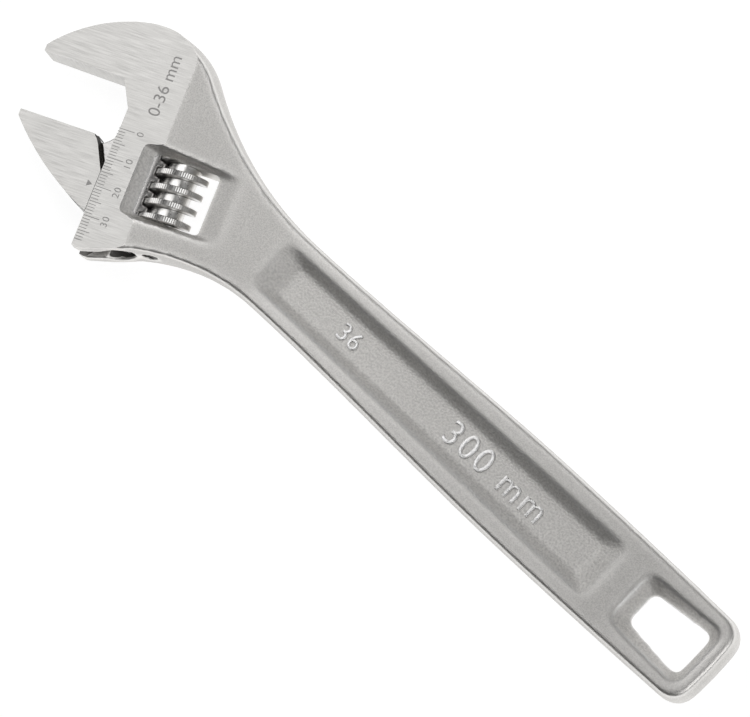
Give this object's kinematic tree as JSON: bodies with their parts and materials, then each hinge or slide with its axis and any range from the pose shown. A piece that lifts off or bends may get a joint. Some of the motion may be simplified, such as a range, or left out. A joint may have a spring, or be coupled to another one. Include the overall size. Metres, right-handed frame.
{
  "type": "adjustable wrench",
  "caption": "Adjustable wrench with an angled head, a sliding jaw moved by a knurled worm, and a recessed handle with a hanging hole.",
  "frame": {"origin": "centre of the fixed jaw's gripping face, on the wrench's mid plane", "axes": "+X along the handle from the jaws to the hanging hole, +Z out of the face that has the scale; the wrench lies flat. The jaw faces are turned 22.5 degrees from +X."},
  "size_m": [0.3028, 0.073, 0.0176],
  "materials": {
    "forged_steel": "ground and brushed on the head, satin blasted on neck and handle",
    "ground_steel": "ground and brushed, dull plating",
    "plated_worm": "bright plated with a knurled crest",
    "dark_pin": "dark oiled steel",
    "spring_steel": "drawn wire"
  },
  "bodies": {
    "handle": {"wrench_body": "forged_steel", "worm_pin": "dark_pin", "worm_spring": "spring_steel"},
    "jaw": {"sliding_jaw": "ground_steel"},
    "worm": {"worm_screw": "plated_worm"}
  },
  "joints": [
    {"name": "jaw_slide", "type": "slide", "parent": "handle", "child": "jaw", "axis": [0.3827, -0.9239, 0], "range_m": [-0.0199, 0.016]},
    {"name": "worm_spin", "type": "hinge", "parent": "handle", "child": "worm", "pos_m": [0.04627, -0.00248, 0], "axis": [0.3827, -0.9239, 0], "range_deg": [-1129.5, 1404.8]}
  ],
  "couplings": [
    {"joint": "worm_spin", "follows": "jaw_slide", "rad_per_m": -1232}
  ]
}
